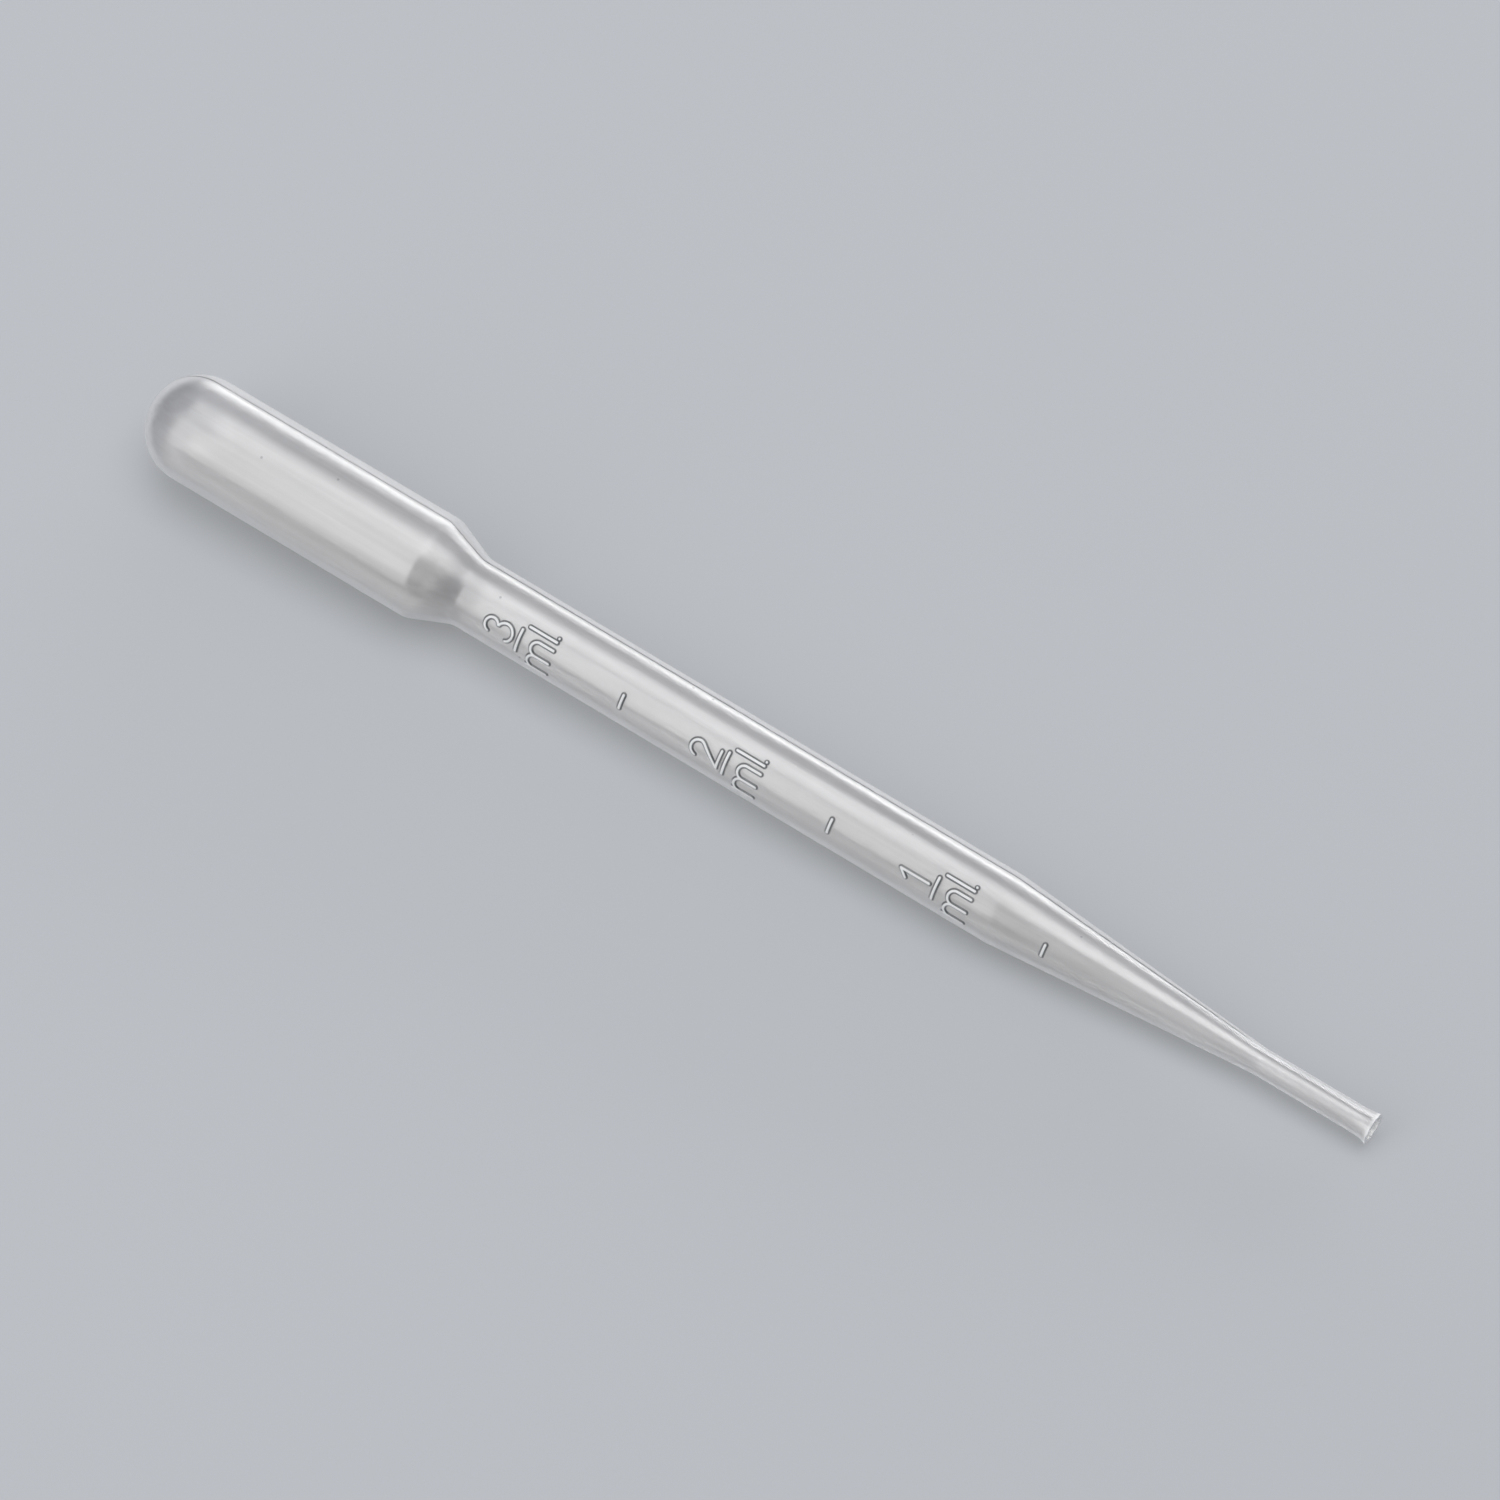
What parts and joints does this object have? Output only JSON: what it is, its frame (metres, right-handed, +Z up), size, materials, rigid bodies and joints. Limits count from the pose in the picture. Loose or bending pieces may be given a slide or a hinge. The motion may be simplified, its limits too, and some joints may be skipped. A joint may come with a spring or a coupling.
{
  "type": "graduated transfer pipette",
  "caption": "Thin-walled squeeze dropper pipette blown in one piece, with a domed bulb, a graduated stem and a long tapered open tip, lying on its side.",
  "frame": {"origin": "on the surface that it lies on, below the middle of its length", "axes": "+X along the pipette towards the open tip, which leans 1.6 degrees down as the pipette rests on its bulb's rim and its stem's end; +Y across it, away from the side with the graduations; +Z up"},
  "size_m": [0.1553, 0.012, 0.0129],
  "materials": {
    "polyethylene": "translucent"
  },
  "bodies": {
    "root": {"pipette": "polyethylene"}
  },
  "joints": []
}
